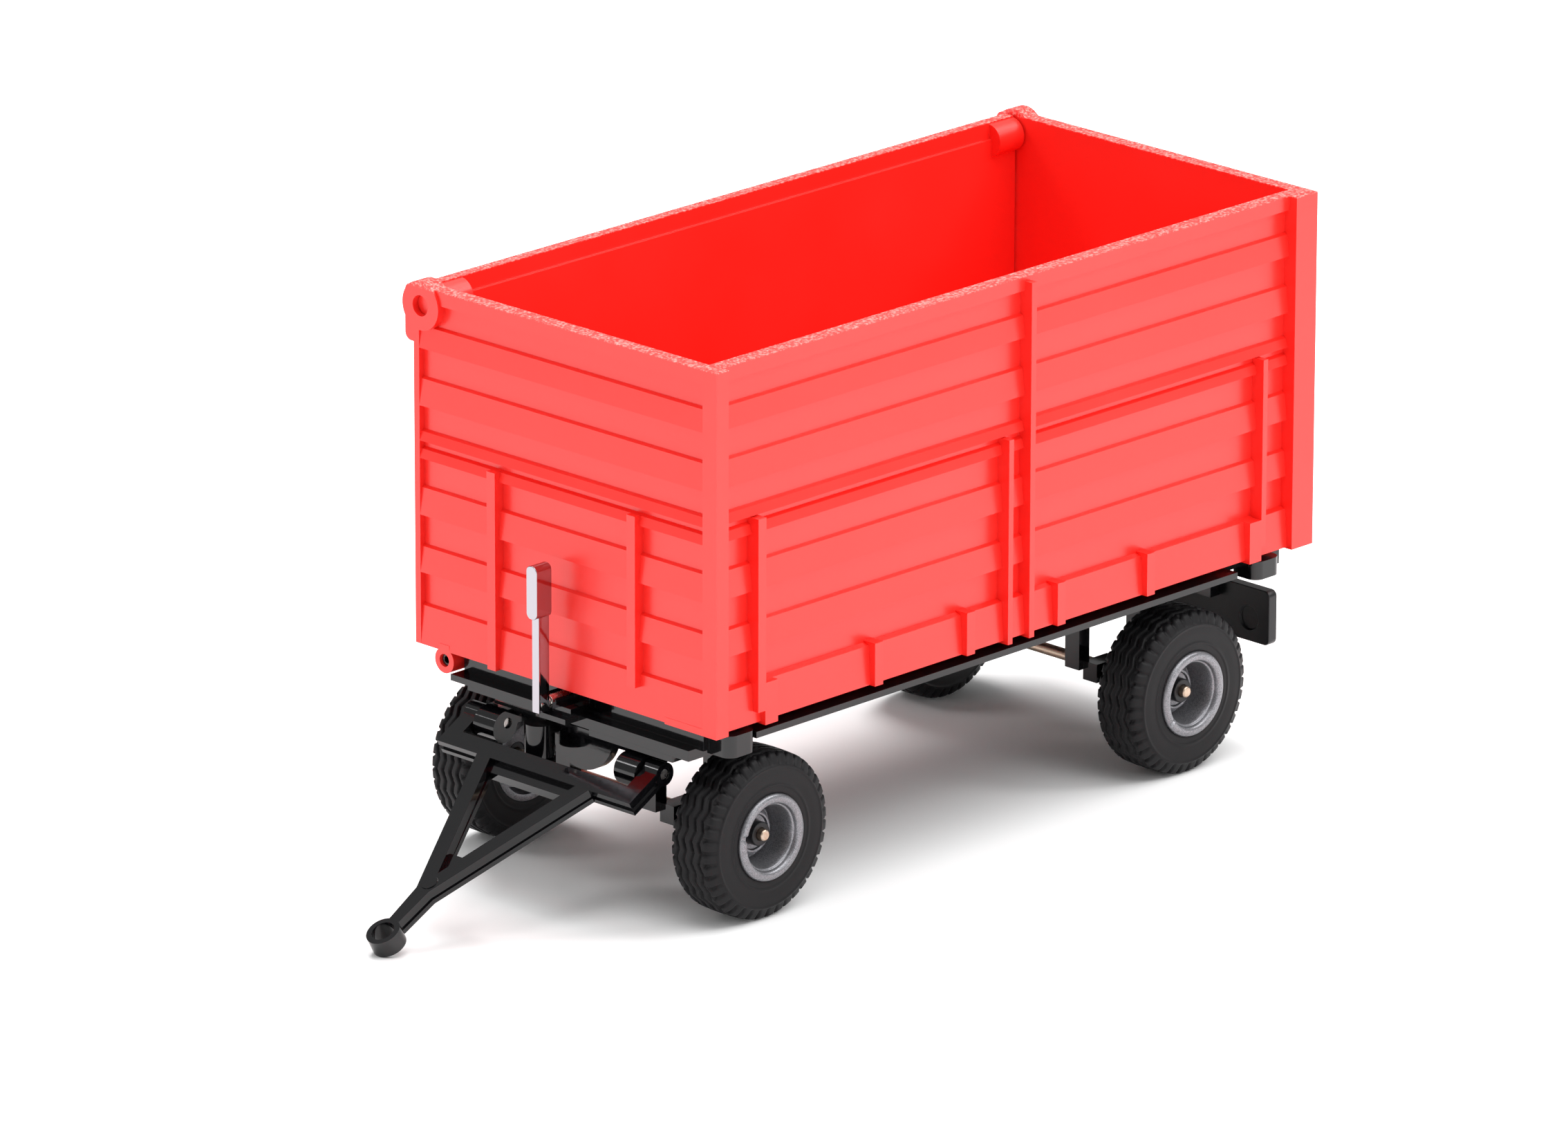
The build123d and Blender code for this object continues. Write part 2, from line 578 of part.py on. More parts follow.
# ----------------------------------------------------------------- tipping gear
lever_x = (back(-3.0), back(-5.7))
lever_mid = (lever_x[0] + lever_x[1]) / 2
with BuildPart() as tipping_lever:
    block(lever_x, (shaft_y - 0.85, shaft_y + 0.85), (shaft_z, shaft_z + lever_height - 8))
    rod_x(lever_x, shaft_y, shaft_z, 1.4)
    grip = (shaft_z + lever_height - 9.5, shaft_z + lever_height)
    block((lever_x[0] - 0.2, lever_x[1] + 0.9), (shaft_y - 1.3, shaft_y + 1.3), grip)
    fillet(tipping_lever.edges().group_by(Axis.Z)[-1], 0.6)
    rod_x((lever_x[0], lever_x[0] + 1.9), shaft_y, shaft_z, journal_radius, Mode.SUBTRACT)
keep("tipping_lever", tipping_lever.part)

with BuildPart() as tipping_shaft:
    rod_x((back(68.6), back(-2.5)), shaft_y, shaft_z, shaft_radius)
    rod_x((back(-2.5), lever_x[0] + 1.9), shaft_y, shaft_z, journal_radius)
keep("tipping_shaft", tipping_shaft.part)

with BuildPart() as lifting_arm:
    arm_x = (back(lifting_arm_setback + 2.2), back(lifting_arm_setback - 2.2))
    rod_x(arm_x, shaft_y, shaft_z, 1.9)
    block(arm_x, (shaft_y, shaft_y + lifting_arm_reach), (shaft_z - 1.0, shaft_z + 1.0))
    rod_x(arm_x, shaft_y + lifting_arm_reach, shaft_z, 1.0)
    rod_x(arm_x, shaft_y, shaft_z, shaft_radius, Mode.SUBTRACT)
keep("lifting_arm", lifting_arm.part)

os.makedirs("parts", exist_ok=True)
for name, shape in pieces.items():
    export_step(shape, f"parts/{name}.step")

print(f"front {front:.3f} nose {nose:.3f} drawbar {degrees(drawbar_angle):.3f} deg")
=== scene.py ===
"""Looks of a toy farm trailer: a red side-tipping tub on a black die-cast chassis."""

from math import atan2, hypot, pi, radians

import bmesh
import bpy
from mathutils import Matrix, Vector


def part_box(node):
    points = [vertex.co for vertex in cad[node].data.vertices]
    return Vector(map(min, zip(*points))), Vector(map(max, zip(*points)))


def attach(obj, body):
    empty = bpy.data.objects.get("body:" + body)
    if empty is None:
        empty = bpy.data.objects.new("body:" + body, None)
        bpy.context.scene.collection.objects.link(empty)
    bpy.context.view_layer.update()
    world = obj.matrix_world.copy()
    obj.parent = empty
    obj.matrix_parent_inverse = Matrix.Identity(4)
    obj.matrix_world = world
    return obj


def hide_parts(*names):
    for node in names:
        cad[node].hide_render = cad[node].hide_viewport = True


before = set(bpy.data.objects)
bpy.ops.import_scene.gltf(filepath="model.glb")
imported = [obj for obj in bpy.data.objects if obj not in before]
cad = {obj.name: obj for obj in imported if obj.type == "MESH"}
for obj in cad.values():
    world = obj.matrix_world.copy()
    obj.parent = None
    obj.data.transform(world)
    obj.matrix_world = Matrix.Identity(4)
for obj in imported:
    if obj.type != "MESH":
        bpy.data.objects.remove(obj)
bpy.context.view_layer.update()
scene = bpy.context.scene
MM = 0.001

# ------------------------------------------------------------------ camera
# A long lens from the front left, a little above the top edge of the tub.
rib_out = 0.9 * MM
wall_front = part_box("tub")[1].x - rib_out
camera_data = bpy.data.cameras.new("camera")
camera_data.sensor_width = 36.0
camera_data.lens = 291.04
camera_data.clip_end = 20.0
camera = bpy.data.objects.new("camera", camera_data)
camera.matrix_world = (
    Matrix.Translation((wall_front + 1506.30 * MM, 1525.64 * MM, 772.33 * MM))
    @ Matrix.Rotation(radians(134.318), 4, "Z")
    @ Matrix.Rotation(radians(90 - 18.345), 4, "X")
    @ Matrix.Rotation(radians(0.123), 4, "Z")
)
scene.collection.objects.link(camera)
scene.camera = camera
scene.view_settings.view_transform = "Standard"


# ------------------------------------------------------- floor and lights
# A white photographic sweep under one broad overhead softbox, with a soft
# box to each side that the glossy paint can mirror.
def linear(hex_colour):
    """sRGB hex to the linear colour that the shaders take."""
    parts = [int(hex_colour[i:i + 2], 16) / 255 for i in (1, 3, 5)]
    return [c / 12.92 if c <= 0.04045 else ((c + 0.055) / 1.055) ** 2.4 for c in parts] + [1.0]


def add(tree, kind, inputs=(), **settings):
    """Adds a node, sets it and fills its inputs with values or with links."""
    made = tree.nodes.new(kind)
    for key, value in settings.items():
        setattr(made, key, value)
    for key, value in dict(inputs).items():
        if isinstance(value, bpy.types.NodeSocket):
            tree.links.new(value, made.inputs[key])
        else:
            made.inputs[key].default_value = value
    return made


def new_material(name):
    """Empty node material with its output and its Principled shader."""
    material = bpy.data.materials.new(name)
    material.use_nodes = True
    tree = material.node_tree
    return material, tree, tree.nodes["Principled BSDF"]


def studio_white():
    """Matt white card."""
    material, tree, surface = new_material("studio_white_card")
    surface.inputs["Base Color"].default_value = linear("#FBFBFB")
    surface.inputs["Roughness"].default_value = 0.9
    surface.inputs["Specular IOR Level"].default_value = 0.1
    return material


sweep_half = 6.0
sweep = bmesh.new()
bmesh.ops.create_grid(sweep, x_segments=1, y_segments=1, size=sweep_half)
floor_mesh = bpy.data.meshes.new("sweep")
sweep.to_mesh(floor_mesh)
sweep.free()
floor_mesh.materials.append(studio_white())
floor_piece = bpy.data.objects.new("sweep", floor_mesh)
scene.collection.objects.link(floor_piece)

world = bpy.data.worlds.new("studio")
world.use_nodes = True
world.node_tree.nodes["Background"].inputs["Color"].default_value = (1.0, 1.0, 1.0, 1.0)
world.node_tree.nodes["Background"].inputs["Strength"].default_value = 0.45
scene.world = world

# place in metres, size in metres, power in watts
softboxes = {
    "overhead": ((-0.20, 0.25, 1.15), (1.5, 1.5), 20.0),
    "key": ((-0.25, -0.50, 0.98), (0.5, 0.5), 8.0),
    "left": ((1.05, -0.30, 0.35), (0.4, 0.4), 1.2),
    "right": ((-0.10, 1.20, 0.42), (0.8, 0.5), 2.6),
    "left_edge_glint": ((0.75, -0.75, 0.85), (0.3, 0.3), 2.4),
    "right_edge_glint": ((-0.75, 0.75, 0.85), (0.3, 0.3), 2.4),
}
middle_of_trailer = Vector((0, 0, 0.06))
for name, (place, size, power) in softboxes.items():
    light = bpy.data.lights.new(name, "AREA")
    light.shape = "RECTANGLE"
    light.size, light.size_y = size
    light.energy = power
    lamp = bpy.data.objects.new(name, light)
    lamp.location = place
    lamp.rotation_euler = (Vector(place) - middle_of_trailer).to_track_quat("Z", "Y").to_euler()
    scene.collection.objects.link(lamp)


# ------------------------------------------------------------ tub and flap
# Both are injection moulded ABS in one red. The mould leaves soft edges and
# an even satin skin, so highlights are broad and never mirror-sharp.
rim_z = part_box("side_flap")[1].z
pale_band_depth = 0.25 * MM
pale_band_full = 0.05 * MM
moulded_edge = 0.2 * MM


def red_abs():
    """Moulded ABS: satin, faint flow marks, pale speckles in a thin band along the top edge."""
    material, tree, surface = new_material("red_abs_moulded")
    where = add(tree, "ShaderNodeTexCoord").outputs["Object"]
    grain = add(tree, "ShaderNodeTexNoise", {"Vector": where, "Scale": 1 / (0.35 * MM), "Detail": 3.0})
    cloud = add(tree, "ShaderNodeTexNoise", {"Vector": where, "Scale": 1 / (22 * MM), "Detail": 2.0})
    tone = add(tree, "ShaderNodeMixRGB", {"Fac": cloud.outputs["Fac"], "Color1": linear("#EE241B"),
                                         "Color2": linear("#F42E27")})
    gloss = add(tree, "ShaderNodeMapRange", {"Value": cloud.outputs["Fac"], "To Min": 0.27, "To Max": 0.34})
    bump = add(tree, "ShaderNodeBump", {"Height": grain.outputs["Fac"], "Strength": 0.22,
                                        "Distance": 0.02 * MM})
    # pale speckles are mixed into the red only in a thin band under the rim
    height = add(tree, "ShaderNodeSeparateXYZ", {"Vector": where})
    rim = add(tree, "ShaderNodeMapRange", {"Value": height.outputs["Z"], "From Min": rim_z - pale_band_depth,
                                           "From Max": rim_z - pale_band_full})
    speckle_noise = add(tree, "ShaderNodeTexNoise", {"Vector": where, "Scale": 1 / (0.5 * MM), "Detail": 4.0})
    patch = add(tree, "ShaderNodeMapRange", {"Value": speckle_noise.outputs["Fac"], "From Min": 0.46,
                                             "From Max": 0.7, "To Max": 0.5})
    pale_speckle_mask = add(tree, "ShaderNodeMath", {0: rim.outputs["Result"], 1: patch.outputs["Result"]},
               operation="MULTIPLY")
    skin = add(tree, "ShaderNodeMixRGB", {"Fac": pale_speckle_mask.outputs["Value"], "Color1": tone.outputs["Color"],
                                         "Color2": linear("#FFC9C0")})
    tree.links.new(skin.outputs["Color"], surface.inputs["Base Color"])
    tree.links.new(gloss.outputs["Result"], surface.inputs["Roughness"])
    tree.links.new(bump.outputs["Normal"], surface.inputs["Normal"])
    surface.inputs["IOR"].default_value = 1.54
    return material


def soften(node, width, material, body):
    """A copy of a CAD piece with the rounded edges that its mould or die gives."""
    shape = bmesh.new()
    shape.from_mesh(cad[node].data)
    bmesh.ops.remove_doubles(shape, verts=shape.verts, dist=0.001 * MM)
    bmesh.ops.dissolve_limit(shape, angle_limit=radians(0.4), verts=shape.verts, edges=shape.edges)
    for face in shape.faces:
        face.smooth = True
        face.material_index = 0
    mesh = bpy.data.meshes.new(f"{node}_moulded")
    shape.to_mesh(mesh)
    shape.free()
    mesh.materials.append(material)
    piece = bpy.data.objects.new(f"{node}_moulded", mesh)
    scene.collection.objects.link(piece)
    rounding = piece.modifiers.new("rounded_edges", "BEVEL")
    rounding.width = width
    rounding.segments = 3
    rounding.limit_method = "ANGLE"
    rounding.angle_limit = radians(30)
    normals = piece.modifiers.new("even_normals", "WEIGHTED_NORMAL")
    normals.keep_sharp = True
    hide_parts(node)
    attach(piece, body)
    return piece


red = red_abs()
soften("tub", moulded_edge, red, "tub_body")
soften("side_flap", moulded_edge, red, "flap_body")


# ----------------------------------------------- chassis and running gear
# Zinc die-castings, sprayed with glossy black enamel that rounds the edges
# and pools slightly, so it mirrors the red tub with a faint orange peel.
def black_enamel():
    """Gloss enamel on a casting: deep black, mirror-like, with orange peel."""
    material, tree, surface = new_material("black_enamel_on_zinc")
    where = add(tree, "ShaderNodeTexCoord").outputs["Object"]
    peel = add(tree, "ShaderNodeTexNoise", {"Vector": where, "Scale": 1 / (0.9 * MM), "Detail": 1.0})
    dust = add(tree, "ShaderNodeTexNoise", {"Vector": where, "Scale": 1 / (4 * MM), "Detail": 4.0})
    gloss = add(tree, "ShaderNodeMapRange", {"Value": dust.outputs["Fac"], "To Min": 0.04, "To Max": 0.13})
    bump = add(tree, "ShaderNodeBump", {"Height": peel.outputs["Fac"], "Strength": 0.2,
                                        "Distance": 0.02 * MM})
    tree.links.new(gloss.outputs["Result"], surface.inputs["Roughness"])
    tree.links.new(bump.outputs["Normal"], surface.inputs["Normal"])
    surface.inputs["Base Color"].default_value = linear("#09090B")
    surface.inputs["Specular IOR Level"].default_value = 0.45
    surface.inputs["IOR"].default_value = 1.52
    return material


cast_edge = 0.3 * MM
thin_cast_edge = 0.15 * MM
enamel = black_enamel()
soften("chassis", cast_edge, enamel, "chassis_body")
soften("rear_axle_carrier", cast_edge, enamel, "chassis_body")
soften("turntable", cast_edge, enamel, "turntable_body")
soften("drawbar", cast_edge, enamel, "drawbar_body")
soften("lifting_arm", thin_cast_edge, enamel, "lever_body")


# ------------------------------------------------------------- rear light bar
# A plate moulded in matt black ABS and pressed on to the chassis hangers. It
# is duller than the enamel, with the faint grain of an eroded mould.
def black_abs():
    """Matt moulded ABS: near black, soft highlights, fine spark-eroded grain."""
    material, tree, surface = new_material("black_abs_matt")
    where = add(tree, "ShaderNodeTexCoord").outputs["Object"]
    grain = add(tree, "ShaderNodeTexNoise", {"Vector": where, "Scale": 1 / (0.25 * MM), "Detail": 2.0})
    tone = add(tree, "ShaderNodeMixRGB", {"Fac": grain.outputs["Fac"], "Color1": linear("#0F0F11"),
                                         "Color2": linear("#161518")})
    bump = add(tree, "ShaderNodeBump", {"Height": grain.outputs["Fac"], "Strength": 0.4,
                                        "Distance": 0.02 * MM})
    tree.links.new(tone.outputs["Color"], surface.inputs["Base Color"])
    tree.links.new(bump.outputs["Normal"], surface.inputs["Normal"])
    surface.inputs["Roughness"].default_value = 0.38
    surface.inputs["Specular IOR Level"].default_value = 0.35
    surface.inputs["IOR"].default_value = 1.54
    return material


matt_black = black_abs()
soften("rear_light_bar", moulded_edge, matt_black, "chassis_body")


# ------------------------------------------------------ pins, rivets and axles
# Bright drawn steel wire, cut to length. The cut ends of the axles have lost
# their zinc and look coppery.
def drawn_steel(name, dull, bright, roughness):
    """Drawn steel: metal with a fine uneven polish between two tones."""
    material, tree, surface = new_material(name)
    where = add(tree, "ShaderNodeTexCoord").outputs["Object"]
    wear = add(tree, "ShaderNodeTexNoise", {"Vector": where, "Scale": 1 / (0.5 * MM), "Detail": 3.0})
    tone = add(tree, "ShaderNodeMixRGB", {"Fac": wear.outputs["Fac"], "Color1": linear(dull),
                                         "Color2": linear(bright)})
    gloss = add(tree, "ShaderNodeMapRange", {"Value": wear.outputs["Fac"], "To Min": roughness - 0.1,
                                             "To Max": roughness + 0.1})
    tree.links.new(tone.outputs["Color"], surface.inputs["Base Color"])
    tree.links.new(gloss.outputs["Result"], surface.inputs["Roughness"])
    surface.inputs["Metallic"].default_value = 1.0
    return material


wire_edge = 0.12 * MM
axle_edge = 0.1 * MM
steel = drawn_steel("drawn_steel_wire", "#A9A6A4", "#DCD6D0", 0.28)
dark_steel = drawn_steel("blackened_steel_tube", "#3A3636", "#6A6262", 0.3)
axle_steel = drawn_steel("drawn_steel_axle", "#A98A6C", "#D6C8BA", 0.34)
for pin in ("front_hinge_pin", "rear_hinge_pin"):
    soften(pin, wire_edge, dark_steel, "chassis_body")
for pin, body in (("kingpin", "chassis_body"), ("carrier_rivets", "chassis_body"),
                  ("left_drawbar_pin", "turntable_body"), ("right_drawbar_pin", "turntable_body"),
                  ("tipping_shaft", "lever_body")):
    soften(pin, wire_edge, steel, body)
for axle in ("front", "rear"):
    soften(f"{axle}_axle", axle_edge, axle_steel, f"{axle}_wheelset")


# ------------------------------------------------------------------------ tyres
# Soft black PVC, pushed over the rim. The tread has zigzag grooves and
# notched shoulders; the sidewall is plain but for two thin moulded rings.
def black_rubber():
    """Soft PVC: charcoal, dull, a little lighter where it has been handled."""
    material, tree, surface = new_material("black_pvc_tyre")
    where = add(tree, "ShaderNodeTexCoord").outputs["Object"]
    skin = add(tree, "ShaderNodeTexNoise", {"Vector": where, "Scale": 1 / (0.3 * MM), "Detail": 3.0})
    haze = add(tree, "ShaderNodeTexNoise", {"Vector": where, "Scale": 1 / (5 * MM), "Detail": 3.0})
    tone = add(tree, "ShaderNodeMixRGB", {"Fac": haze.outputs["Fac"], "Color1": linear("#0D0C0E"),
                                         "Color2": linear("#171618")})
    gloss = add(tree, "ShaderNodeMapRange", {"Value": haze.outputs["Fac"], "To Min": 0.42, "To Max": 0.6})
    bump = add(tree, "ShaderNodeBump", {"Height": skin.outputs["Fac"], "Strength": 0.4,
                                        "Distance": 0.03 * MM})
    tree.links.new(tone.outputs["Color"], surface.inputs["Base Color"])
    tree.links.new(gloss.outputs["Result"], surface.inputs["Roughness"])
    tree.links.new(bump.outputs["Normal"], surface.inputs["Normal"])
    surface.inputs["Specular IOR Level"].default_value = 0.22
    surface.inputs["IOR"].default_value = 1.5
    return material


def cut_corners(points, rounds):
    """Rounds an open line by cutting every corner a quarter of the way in."""
    for _ in range(rounds):
        softer = [points[0]]
        for (r0, t0), (r1, t1) in zip(points, points[1:]):
            softer.append((r0 * 0.75 + r1 * 0.25, t0 * 0.75 + t1 * 0.25))
            softer.append((r0 * 0.25 + r1 * 0.75, t0 * 0.25 + t1 * 0.75))
        points = softer + [points[-1]]
    return points


def turned(outline, steps):
    """Spins a closed outline of (radius, along the axle) in mm about the Y axis."""
    shape = bmesh.new()
    points = [shape.verts.new((r * MM, t * MM, 0)) for r, t in outline]
    loop = [shape.edges.new(pair) for pair in zip(points, points[1:] + points[:1])]
    bmesh.ops.spin(shape, geom=points + loop, cent=(0, 0, 0), axis=(0, 1, 0), dvec=(0, 0, 0),
                   angle=2 * pi, steps=steps, use_merge=True, use_duplicate=False)
    bmesh.ops.remove_doubles(shape, verts=shape.verts, dist=0.002 * MM)
    bmesh.ops.recalc_face_normals(shape, faces=shape.faces)
    return shape


def finish_wheel_part(shape, name, node, material, body):
    """Moves a turned shape to its wheel, with its outer side outwards, and rides it."""
    low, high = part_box(node)
    middle = (low + high) / 2
    side = 1 if middle.y > 0 else -1
    turn = Matrix.Translation((middle.x, 0, middle.z)) @ Matrix.Rotation(0 if side > 0 else pi, 4, "Z")
    bmesh.ops.transform(shape, matrix=turn, verts=shape.verts)
    for face in shape.faces:
        face.smooth = True
    mesh = bpy.data.meshes.new(name)
    shape.to_mesh(mesh)
    shape.free()
    mesh.materials.append(material)
    piece = bpy.data.objects.new(name, mesh)
    scene.collection.objects.link(piece)
    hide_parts(node)
    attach(piece, body)
    return piece


tyre_low, tyre_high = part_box("front_left_tyre")
tyre_radius = (tyre_high.z - tyre_low.z) / 2 / MM
tyre_inner_y = tyre_low.y / MM
tyre_outer_y = tyre_high.y / MM
tyre_middle_y = (tyre_inner_y + tyre_outer_y) / 2
# all in mm
bead_radius = 8.1
tread_half = 3.9
tread_points = 52
tread_crown = 0.15
tyre_steps = 360
grooves = (-2.75, -0.95, 0.95, 2.75)
groove_half = 0.42
groove_depth = 0.7
groove_sway = 0.38
zigzags = 24
notches = 40
notch_share = 0.26
notch_depth = 0.6
notch_start = 3.5
shoulder_radius = 13.3
# the sidewall from the bead to the tread, as (radius, out from the middle)
tyre_side = [
    (bead_radius - 0.5, 4.3),
    (bead_radius - 0.1, 5.25),
    (bead_radius + 0.5, 5.42),
    (9.4, 5.36),
    (9.5, 5.47),
    (9.8, 5.47),
    (9.9, 5.40),
    (11.6, 5.48),
    (12.9, 5.38),
    (13.0, 5.46),
    (13.25, 5.42),
    (13.4, 5.24),
    (14.5, 4.85),
    (15.25, 4.35),
    (tyre_radius - 0.15, tread_half),
]


def tyre_outline():
    """Closed outline: inner side, tread from side to side, outer side, bore."""
    side = cut_corners(tyre_side, 1)
    tread = []
    for k in range(1, tread_points):
        across = -tread_half + 2 * tread_half * k / tread_points
        crown = tread_crown * (across / tread_half) ** 2
        tread.append((tyre_radius - crown, across))
    around = [(r, -t) for r, t in side] + tread + [(r, t) for r, t in reversed(side)]
    return [(r, t + tyre_middle_y) for r, t in around]


def tread_cut(angle, across, radius):
    """Depth in mm of the grooves and shoulder notches at a point of the tread."""
    phase = zigzags * angle / (2 * pi) % 1
    sway = groove_sway * (4 * abs(phase - 0.5) - 1)
    depth = 0.0
    for groove in grooves:
        off = abs(across - groove - sway) / groove_half
        if off < 1:
            depth = max(depth, groove_depth * (1 - off ** 2))
    notch = notches * angle / (2 * pi) % 1
    if abs(across) > notch_start and radius > shoulder_radius and notch < notch_share:
        depth = max(depth, notch_depth * min(1.0, radius - shoulder_radius))
    return depth


def tyre_shape():
    """One tyre with its tread cut, standing about the Y axis."""
    shape = turned(tyre_outline(), tyre_steps)
    for corner in shape.verts:
        radius = hypot(corner.co.x, corner.co.z)
        across = corner.co.y / MM - tyre_middle_y
        if radius > (shoulder_radius + 0.1) * MM:
            angle = atan2(corner.co.z, corner.co.x)
            shrink = 1 - tread_cut(angle, across, radius / MM) * MM / radius
            corner.co.x *= shrink
            corner.co.z *= shrink
    return shape


rubber = black_rubber()
first_tyre = tyre_shape()
for axle in ("front", "rear"):
    for side in ("left", "right"):
        wheel = f"{axle}_{side}"
        finish_wheel_part(first_tyre.copy(), f"{wheel}_tyre_treaded", f"{wheel}_tyre", rubber,
                          f"{axle}_wheelset")
first_tyre.free()


# ------------------------------------------------------------ rims and hubs
# Rims are ABS sprayed with silver lacquer, which shows fine metal flake. A
# small gate mark breaks the lip. The hub core is the bare black plastic.
def silver_lacquer():
    """Silver lacquer on ABS: grey, half metallic, sparkling flake."""
    material, tree, surface = new_material("silver_lacquer")
    where = add(tree, "ShaderNodeTexCoord").outputs["Object"]
    # real flake is 0.02 mm; 0.12 mm is the finest that shows
    flake = add(tree, "ShaderNodeTexVoronoi", {"Vector": where, "Scale": 1 / (0.12 * MM)})
    spots = add(tree, "ShaderNodeSeparateColor", {"Color": flake.outputs["Color"]})
    tone = add(tree, "ShaderNodeMixRGB", {"Fac": spots.outputs["Red"], "Color1": linear("#6E6E72"),
                                         "Color2": linear("#9A9A9E")})
    bump = add(tree, "ShaderNodeBump", {"Height": spots.outputs["Red"], "Strength": 0.3,
                                        "Distance": 0.01 * MM})
    tree.links.new(tone.outputs["Color"], surface.inputs["Base Color"])
    tree.links.new(bump.outputs["Normal"], surface.inputs["Normal"])
    surface.inputs["Metallic"].default_value = 0.8
    surface.inputs["Roughness"].default_value = 0.36
    return material


# all in mm; the outline is (radius, along the axle), from the hub out to the lip
lip_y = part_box("front_left_rim")[1].y / MM
rim_back_y = 28.6
rim_steps = 128
rim_edge = 0.1
gate_depth = 0.45
gate_half = 0.45
hub_edge = 0.25
rim_outline = [
    (2.2, rim_back_y),
    (2.2, lip_y - 5.1),
    (3.2, lip_y - 5.1),
    (3.25, lip_y - 4.55),
    (3.75, lip_y - 4.5),
    (3.8, lip_y - 5.4),
    (4.35, lip_y - 5.45),
    (4.4, lip_y - 6.2),
    (5.05, lip_y - 6.25),
    (5.35, lip_y - 3.5),
    (5.75, lip_y - 1.75),
    (5.95, lip_y - 1.1),
    (6.25, lip_y - 1.0),
    (6.32, lip_y - 0.5),
    (6.5, lip_y - 0.2),
    (6.85, lip_y - 0.03),
    (7.2, lip_y),
    (7.6, lip_y - 0.04),
    (7.92, lip_y - 0.22),
    (8.1, lip_y - 0.55),
    (8.1, lip_y - 0.9),
    (7.4, lip_y - 1.5),
    (7.4, tyre_inner_y + 1.2),
    (8.1, tyre_inner_y + 0.7),
    (8.1, tyre_inner_y + 0.1),
    (6.8, tyre_inner_y + 0.1),
    (6.3, rim_back_y),
]


def rim_shape(gate_angle):
    """One rim, with the scar of its gate across the lip."""
    shape = turned(rim_outline, rim_steps)
    for corner in shape.verts:
        radius = hypot(corner.co.x, corner.co.z) / MM
        off = abs((atan2(corner.co.z, corner.co.x) - gate_angle + pi) % (2 * pi) - pi) * radius
        if corner.co.y / MM > lip_y - 1.05 and 5.9 < radius < 7.9 and off < gate_half:
            corner.co.y -= gate_depth * MM
    return shape


silver = silver_lacquer()
gate_angles = {"front_left": radians(12), "front_right": radians(200), "rear_left": radians(-35),
               "rear_right": radians(80)}
for wheel, gate_angle in gate_angles.items():
    body = wheel.split("_")[0] + "_wheelset"
    rim = finish_wheel_part(rim_shape(gate_angle), f"{wheel}_rim_lacquered", f"{wheel}_rim", silver, body)
    rounding = rim.modifiers.new("lacquer_edges", "BEVEL")
    rounding.width = rim_edge * MM
    rounding.segments = 2
    rounding.limit_method = "ANGLE"
    rounding.angle_limit = radians(25)
    soften(f"{wheel}_hub_core", hub_edge * MM, matt_black, body)


# --------------------------------------------------------------- tipping lever
# Cast zinc with bright chrome plate. The stem has a slanted flute on each
# side and the grip is a thicker block with its ends rounded.
def chrome_plate():
    """Decorative chrome: mirror-like, slightly wavy over the casting."""
    material, tree, surface = new_material("chrome_plate")
    where = add(tree, "ShaderNodeTexCoord").outputs["Object"]
    wave = add(tree, "ShaderNodeTexNoise", {"Vector": where, "Scale": 1 / (0.8 * MM), "Detail": 2.0})
    gloss = add(tree, "ShaderNodeMapRange", {"Value": wave.outputs["Fac"], "To Min": 0.04, "To Max": 0.12})
    bump = add(tree, "ShaderNodeBump", {"Height": wave.outputs["Fac"], "Strength": 0.15,
                                        "Distance": 0.03 * MM})
    tree.links.new(gloss.outputs["Result"], surface.inputs["Roughness"])
    tree.links.new(bump.outputs["Normal"], surface.inputs["Normal"])
    surface.inputs["Base Color"].default_value = linear("#ACA8AE")
    surface.inputs["Metallic"].default_value = 1.0
    return material


lever_low, lever_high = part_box("tipping_lever")
# all in mm
grip_behind = 0.2
grip_before = 0.9
grip_length = 10.0
grip_thickness = 2.6
grip_rounding = 1.1
stem_half = 0.85
stem_into_grip = 2
stem_x = (lever_low.x / MM + grip_behind, lever_high.x / MM - grip_before)
lever_y = (lever_low.y + lever_high.y) / 2 / MM
grip_z = (lever_high.z / MM - grip_length, lever_high.z / MM)
# share of the stem's depth from the front, and how far the side is cut in
flute = [(0.0, 0.0), (0.16, 0.0), (0.2, 0.28), (0.72, 0.02), (1.0, 0.0)]


def stem_outline():
    """Corners of the stem, seen from above, with a slanted flute on each side."""
    side = [(stem_x[1] - (stem_x[1] - stem_x[0]) * share, stem_half - cut) for share, cut in flute]
    return [(x, lever_y + y) for x, y in side] + [(x, lever_y - y) for x, y in reversed(side)]


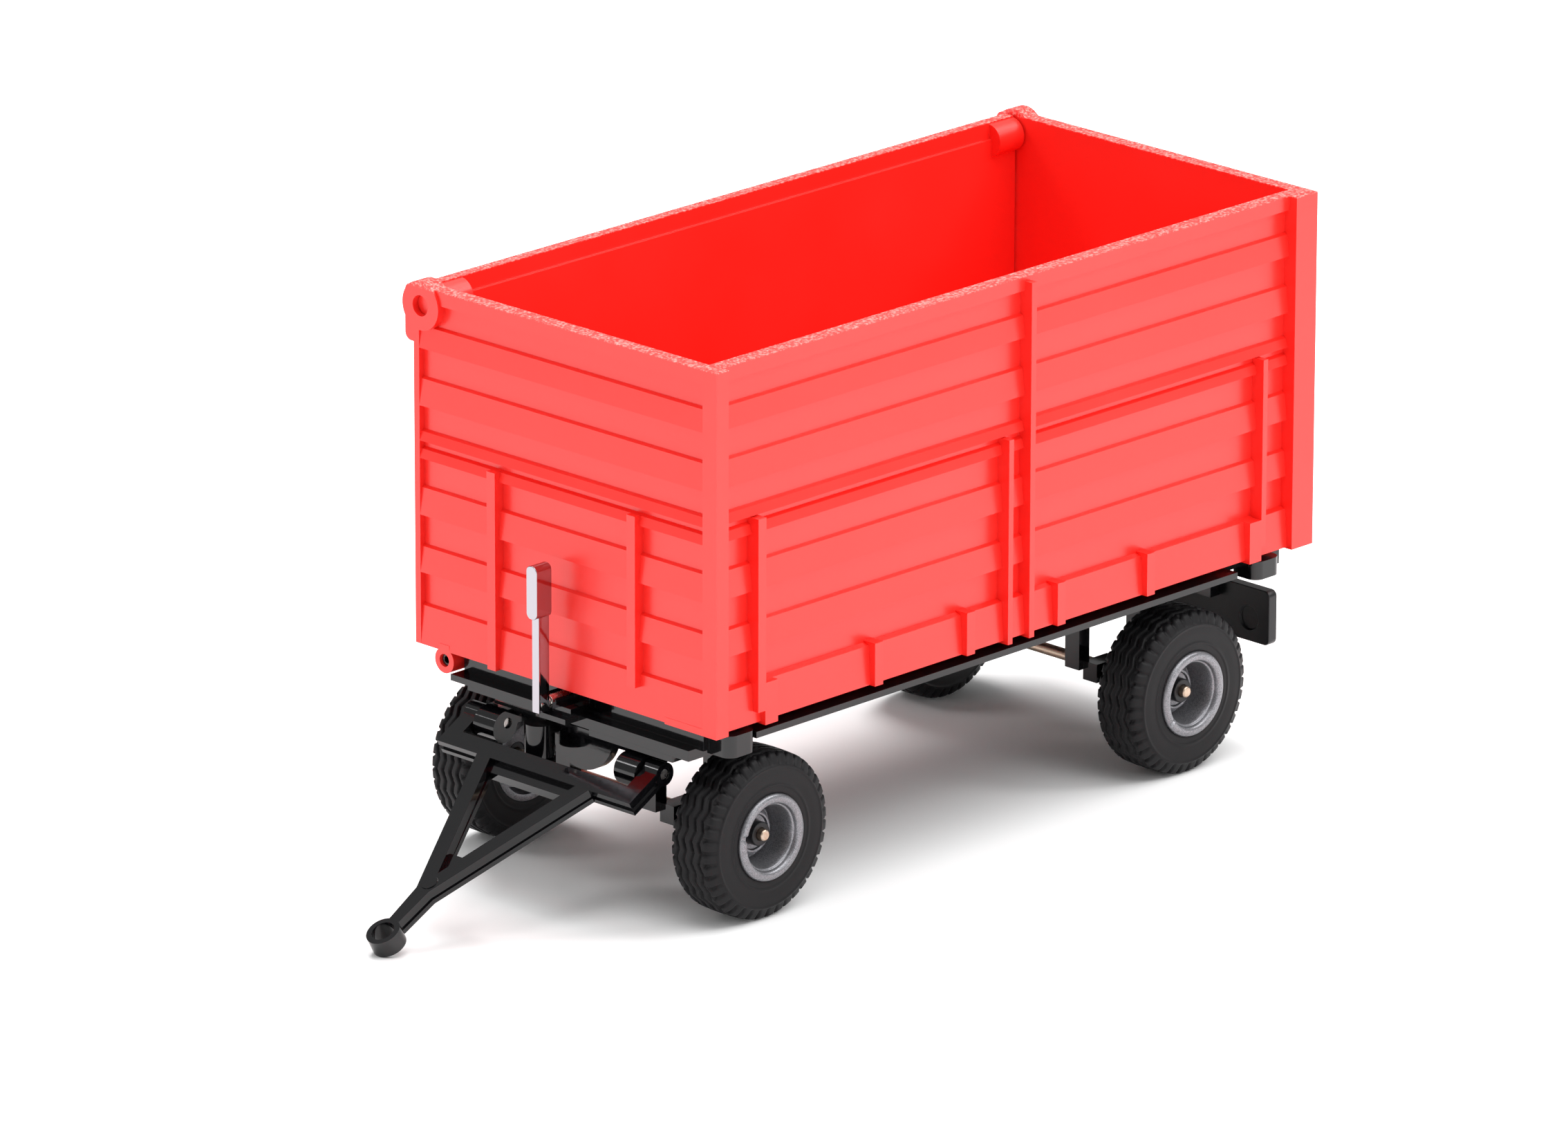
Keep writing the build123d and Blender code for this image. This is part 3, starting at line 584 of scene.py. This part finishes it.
def raise_up(shape, outline, low, high):
    """Extrudes an outline upwards into a closed bar."""
    foot = shape.faces.new([shape.verts.new((x * MM, y * MM, low * MM)) for x, y in outline])
    grown = bmesh.ops.extrude_face_region(shape, geom=[foot], use_keep_orig=True)
    top = [v for v in grown["geom"] if isinstance(v, bmesh.types.BMVert)]
    bmesh.ops.translate(shape, vec=(0, 0, (high - low) * MM), verts=top)


lever_shape = bmesh.new()
raise_up(lever_shape, stem_outline(), lever_low.z / MM, grip_z[0] + stem_into_grip)
grip = bmesh.ops.create_cube(lever_shape, size=1.0)["verts"]
grip_depth = stem_x[1] - stem_x[0] + grip_behind + grip_before
grip_x = sum(stem_x) / 2 + (grip_before - grip_behind) / 2
grip_size = Vector((grip_depth, grip_thickness, grip_z[1] - grip_z[0])) * MM
grip_place = Vector((grip_x, lever_y, sum(grip_z) / 2)) * MM
bmesh.ops.scale(lever_shape, vec=grip_size, verts=grip)
bmesh.ops.translate(lever_shape, vec=grip_place, verts=grip)
grip_edges = list({e for v in grip for e in v.link_edges})
along_grip = [e for e in grip_edges if abs((e.verts[0].co - e.verts[1].co).x) > 0.5 * MM]
bmesh.ops.bevel(lever_shape, geom=along_grip, offset=grip_rounding * MM, offset_type="OFFSET", affect="EDGES",
                segments=6, profile=0.5, material=-1, clamp_overlap=True)
bmesh.ops.recalc_face_normals(lever_shape, faces=lever_shape.faces)
for face in lever_shape.faces:
    face.smooth = True
# the bottom of a flute stays a crisp line
for edge in lever_shape.edges:
    edge.smooth = edge.calc_face_angle() < radians(25)
lever_mesh = bpy.data.meshes.new("tipping_lever_plated")
lever_shape.to_mesh(lever_mesh)
lever_shape.free()
lever_mesh.materials.append(chrome_plate())
lever_piece = bpy.data.objects.new("tipping_lever_plated", lever_mesh)
scene.collection.objects.link(lever_piece)

lever_edges = lever_piece.modifiers.new("plated_edges", "BEVEL")
lever_edges.width = 0.12 * MM
lever_edges.segments = 4
lever_edges.limit_method = "ANGLE"
lever_edges.angle_limit = radians(35)
lever_normals = lever_piece.modifiers.new("even_normals", "WEIGHTED_NORMAL")
lever_normals.keep_sharp = True
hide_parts("tipping_lever")
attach(lever_piece, "lever_body")
